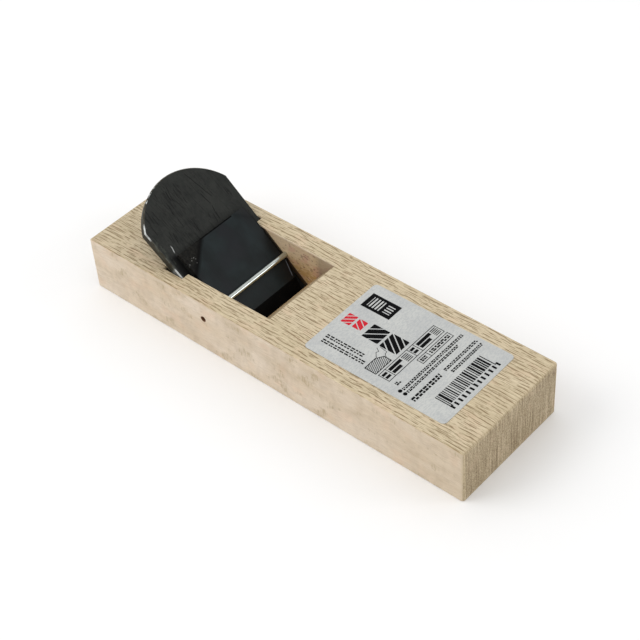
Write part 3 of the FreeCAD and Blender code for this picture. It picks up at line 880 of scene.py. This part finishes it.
def print_label():
    """Every printed area, in the block's millimetres."""
    panel = Print("label_print_panel", black_ink)
    for x0, x1, y0, y1 in ((16.8, 18.6, 8.0, 15.8), (18.6, 24.0, 8.0, 9.3), (18.6, 24.0, 14.5, 15.8),
                           (24.0, 25.4, 8.0, 15.8), (25.4, 28.6, 8.0, 9.8), (25.4, 28.6, 14.0, 15.8),
                           (28.6, 30.0, 8.0, 15.8)):
        panel.bar(*local(x0, y0), *local(x1, y1))
    for i in range(4):
        x = 18.9 + i * 1.32
        panel.bar(*local(x, 9.3), *local(x + 0.62, 14.5))
    for i in range(3):
        y = 10.2 + i * 1.3
        panel.bar(*local(25.4, y), *local(28.6, y + 0.7))
    panel.finish()

    red = Print("label_print_red_blocks", red_ink)
    slotted_block(red, 16.5, -2.8, 20.5, 2.5, 4, 0.5, True)
    slotted_block(red, 21.5, -2.6, 25.3, 2.3, 3, 0.5, False)
    red.finish()

    title = Print("label_print_title_blocks", black_ink)
    slotted_block(title, 27.3, -4.1, 34.5, 3.3, 4, 0.55, True)
    slotted_block(title, 35.5, -4.3, 43.2, 3.5, 5, 0.55, False)
    title.finish()

    boxes = Print("label_print_ruled_boxes", black_ink)
    boxes.box(*local(44.4, -15.9), *local(49.5, 15.5), rule)
    for y in (3.0, -0.3, -12.3):
        boxes.bar(*local(44.4, y), *local(49.5, y + rule))
    boxes.box(*local(50.4, -2.0), *local(53.5, 15.6), rule)
    boxes.bar(*local(50.4, 2.8), *local(53.5, 2.8 + rule))
    boxes.finish()

    fills = Print("label_print_box_fills", black_ink)
    for y0, y1 in ((-15.3, -12.9), (0.3, 2.4)):
        for x in (45.4, 47.1):
            fills.bar(*local(x, y0), *local(x + 1.1, y1))
    for x0, x1, y0, y1 in ((45.3, 46.7, -11.6, -5.0), (47.1, 48.5, -11.6, -7.0),
                           (45.3, 46.7, 4.0, 11.4), (47.1, 48.5, 4.0, 9.6)):
        fills.bar(*local(x0, y0), *local(x1, y1))
    for y0, y1 in ((-4.3, -1.2), (11.9, 14.8)):
        for i in range(5):
            x = 45.3 + i * 0.72
            fills.bar(*local(x, y0), *local(x + 0.36, y1))
    text_down(fills, 51.2, 52.7, -1.2, 2.2, 1.2)
    text_down(fills, 51.2, 52.7, 4.0, 14.6, 1.9)
    fills.finish()

    hatched = Print("label_print_hatched_block", black_ink)
    outline = [(38.5, -15.9), (43.5, -15.9), (43.5, -7.3), (40.3, -7.3), (38.5, -10.0)]
    for a, b in zip(outline, outline[1:] + outline[:1]):
        hatched.line(*local(*a), *local(*b), 0.34)
    half = hatch_width / 2
    for i in range(12):
        middle = 32.6 + i * hatch_pitch
        strip = clip(outline, 1.0, hatch_lean, middle + half)
        strip = clip(strip, -1.0, -hatch_lean, half - middle)
        if len(strip) > 2:
            hatched.area([local(*corner) for corner in strip])
    for points in (((38.6, -9.6), (36.8, -7.6), (37.2, -6.6), (35.6, -5.6)),
                   ((41.2, -7.2), (39.8, -6.2), (39.6, -5.0), (36.4, -4.6))):
        for a, b in zip(points, points[1:]):
            hatched.line(*local(*a), *local(*b), 0.2)
    hatched.finish()

    text = Print("label_print_text_bars", black_ink)
    text_along(text, -12.3, -10.6, 17.3, 34.3, 1.7)
    text_along(text, -15.0, -13.3, 17.5, 37.3, 1.7)
    text_down(text, 54.9, 56.2, -16.0, 17.7, 1.3)
    text_down(text, 56.9, 58.1, -16.0, 12.7, 1.3)
    text_down(text, 51.4, 52.9, -15.6, -13.4, 1.2)
    text_down(text, 60.4, 62.4, -18.0, -2.5, 1.8)
    text_down(text, 60.6, 61.9, 0.0, 18.5, 1.4)
    text_down(text, 63.0, 64.3, 1.0, 18.5, 1.2)
    turns = [i * math.tau / 20 for i in range(20)]
    for x in (55.2, 57.4):
        text.area([local(x + dot_radius * math.cos(a), dot_radius * math.sin(a) - 17.1) for a in turns])
    text.finish()

    stripes = Print("label_print_stripes", black_ink)
    y = -12.5
    index = 0
    while y < last_stripe:
        width = stripe_widths[0] if index < 2 else rng.choice(stripe_widths)
        long = index in (0, 1) or y > 12.2 or 0.0 < y < 0.8
        stripes.bar(*local(stripe_start, y), *local(long_stripe_end if long else stripe_end, y + width))
        y += width + rng.choice(stripe_gaps)
        index += 1
    # broken line of small marks under the stripes
    y = -12.9
    while y < last_stripe:
        stripes.bar(*local(73.0, y + 0.3), *local(75.0, y + 1.2))
        y += mark_pitch
    stripes.finish()


print_label()


# --- studio ----------------------------------------------------------------------
def add_floor():
    """A wide pale square, just under the sole."""
    half = 3.0                   # metres
    below = -0.00003
    corners = [(-half, -half, below), (half, -half, below), (half, half, below), (-half, half, below)]
    mesh = bpy.data.meshes.new("floor")
    mesh.from_pydata(corners, [], [(0, 1, 2, 3)])
    floor = bpy.data.objects.new("floor", mesh)
    bpy.context.scene.collection.objects.link(floor)
    material = bpy.data.materials.new("floor_pale")
    material.use_nodes = True
    shader = material.node_tree.nodes["Principled BSDF"]
    shader.inputs["Base Color"].default_value = (0.97, 0.97, 0.97, 1.0)
    shader.inputs["Roughness"].default_value = 0.9
    shader.inputs["Specular IOR Level"].default_value = 0.1
    mesh.materials.append(material)


def add_softbox(name, place, size, power):
    """A rectangular light aimed at the block, all in metres and watts."""
    data = bpy.data.lights.new(name, "AREA")
    data.shape = "RECTANGLE"
    data.size, data.size_y = size
    data.energy = power
    light = bpy.data.objects.new(name, data)
    place = Vector(place)
    light.location = place
    light.rotation_euler = (-place).to_track_quat("-Z", "Y").to_euler()
    bpy.context.scene.collection.objects.link(light)


def add_world():
    """White surroundings, with no lamp of their own."""
    world = bpy.data.worlds.new("studio")
    bpy.context.scene.world = world
    world.use_nodes = True
    tree = world.node_tree
    background = tree.nodes["Background"]
    background.inputs["Color"].default_value = (1.0, 1.0, 1.0, 1.0)
    coordinates = tree.nodes.new("ShaderNodeTexCoord")
    split = tree.nodes.new("ShaderNodeSeparateXYZ")
    tree.links.new(coordinates.outputs["Generated"], split.inputs[0])

    def ramp(source, low, high, bottom, top):
        node = tree.nodes.new("ShaderNodeMapRange")
        node.interpolation_type = "SMOOTHSTEP"
        for socket, value in zip(node.inputs[1:5], (low, high, bottom, top)):
            socket.default_value = value
        tree.links.new(source, node.inputs[0])
        return node.outputs[0]

    def times(a, b):
        node = tree.nodes.new("ShaderNodeMath")
        node.operation = "MULTIPLY"
        tree.links.new(a, node.inputs[0])
        tree.links.new(b, node.inputs[1])
        return node.outputs[0]

    # brighter overhead, with a darker gap ahead of the block, above the front softbox
    horizon_strength, overhead_strength, gap_share = 0.66, 1.00, 0.45
    sky = ramp(split.outputs[2], 0.0, 0.9, horizon_strength, overhead_strength)
    ahead = ramp(split.outputs[0], 0.10, 0.22, 0.0, 1.0)
    above = ramp(split.outputs[2], 0.58, 0.66, 0.0, 1.0)
    below = ramp(split.outputs[2], 0.84, 0.78, 0.0, 1.0)
    gap = ramp(times(times(ahead, above), below), 0.0, 1.0, 1.0, gap_share)
    tree.links.new(times(sky, gap), background.inputs["Strength"])


bpy.context.scene.view_settings.view_transform = "Standard"
add_floor()
add_world()
add_softbox("key", (-0.9, -0.9, 1.1), (1.0, 1.0), 8.0)
add_softbox("front", (0.89, 0.62, 0.62), (0.3, 0.5), 1.2)
